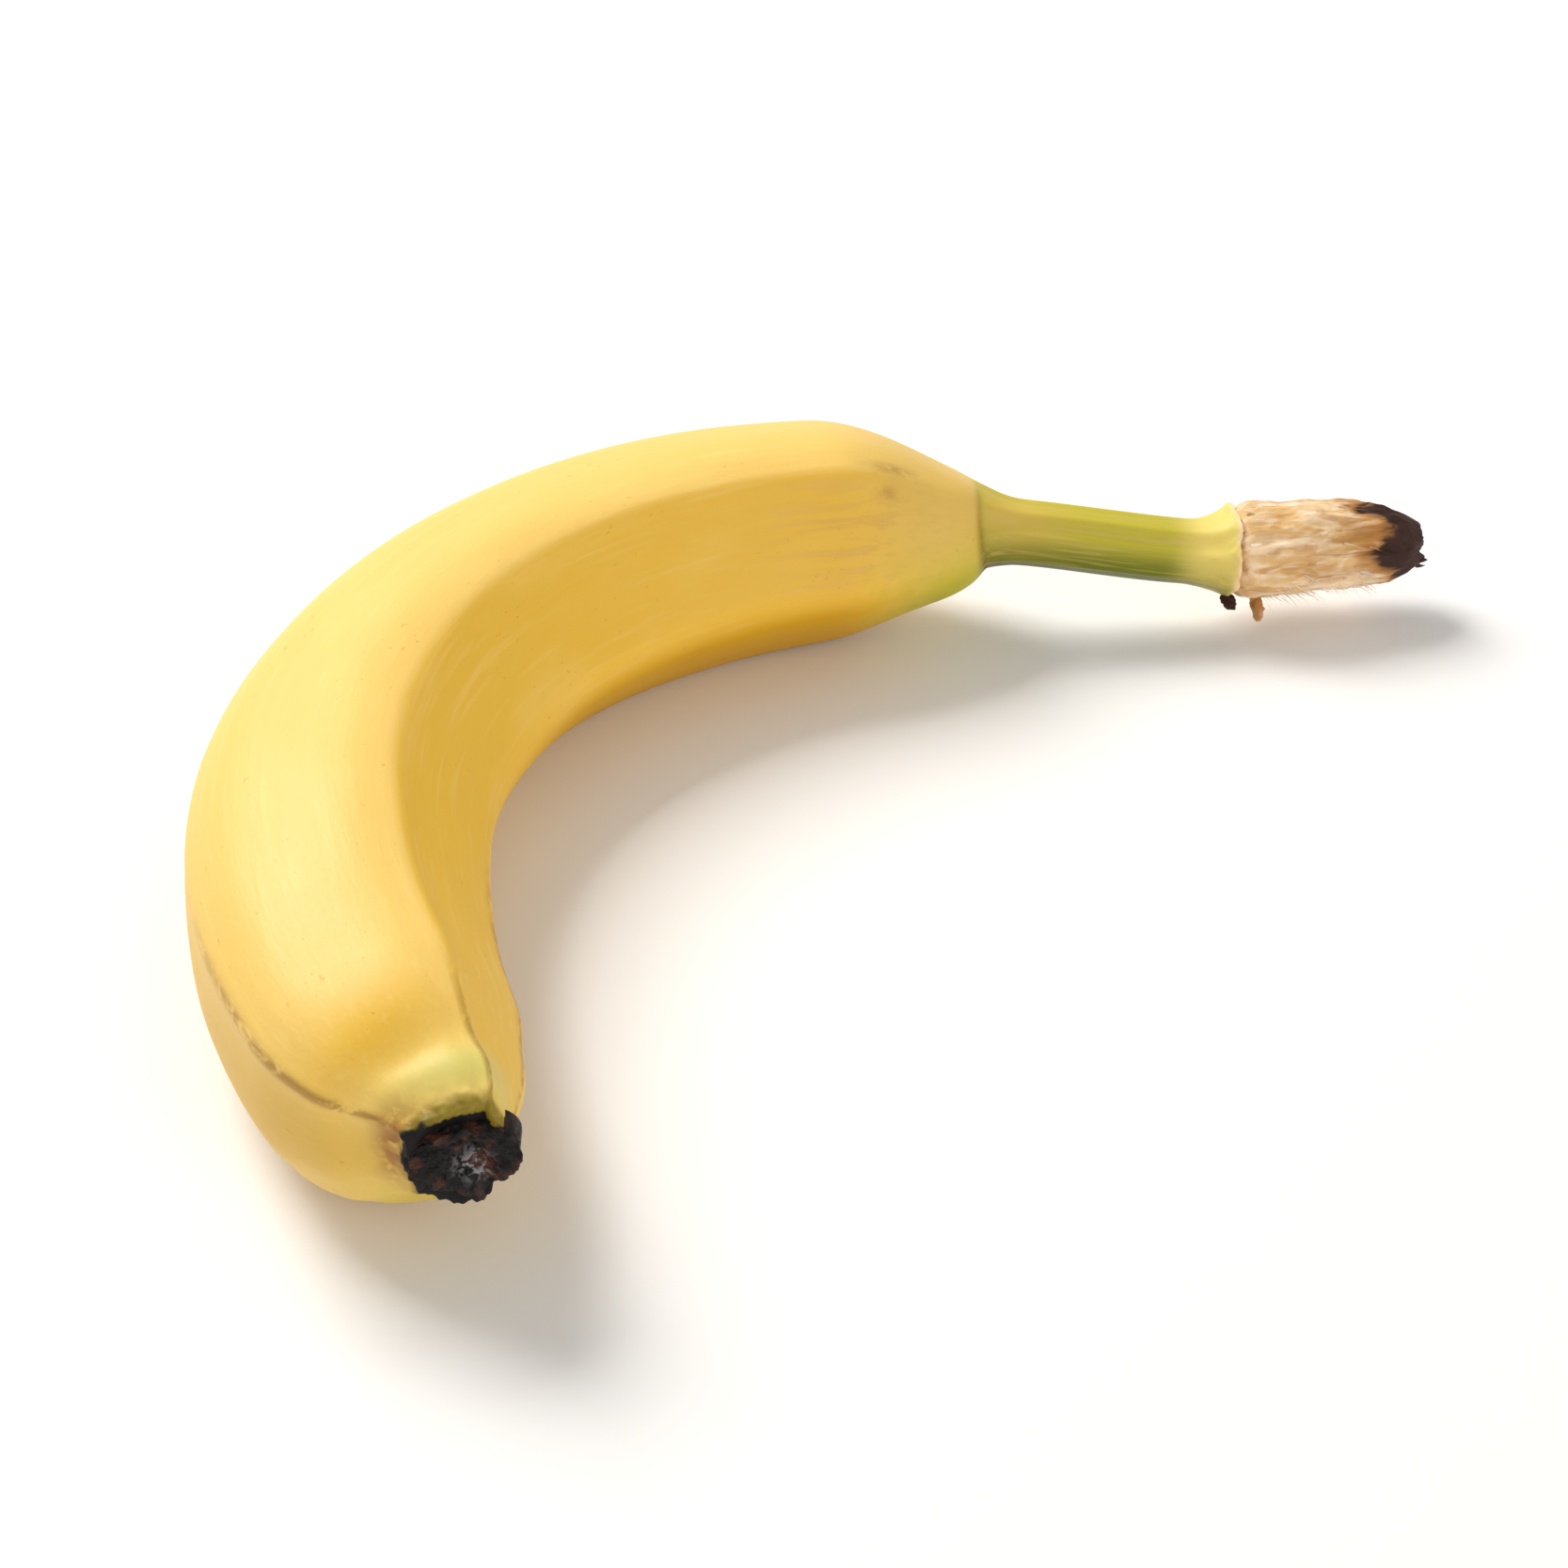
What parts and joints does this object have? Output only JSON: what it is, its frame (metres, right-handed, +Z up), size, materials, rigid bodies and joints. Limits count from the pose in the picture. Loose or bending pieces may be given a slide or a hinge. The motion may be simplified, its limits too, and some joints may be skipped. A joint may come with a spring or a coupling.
{
  "type": "banana",
  "caption": "Whole ripe banana lying on its side, strongly curved, with its green stem, a torn stem end and a black blossom end.",
  "frame": {"origin": "under the middle of the bounding box, on the surface that the fruit lies on", "axes": "+X along the chord from the blossom end to the stem end, +Y towards the back of the curve, +Z up"},
  "size_m": [0.21, 0.1004, 0.0376],
  "materials": {
    "peel": "smooth satin banana peel, ripe yellow, green at the stem, black at the blossom end"
  },
  "bodies": {
    "root": {"banana": "peel"}
  },
  "joints": []
}
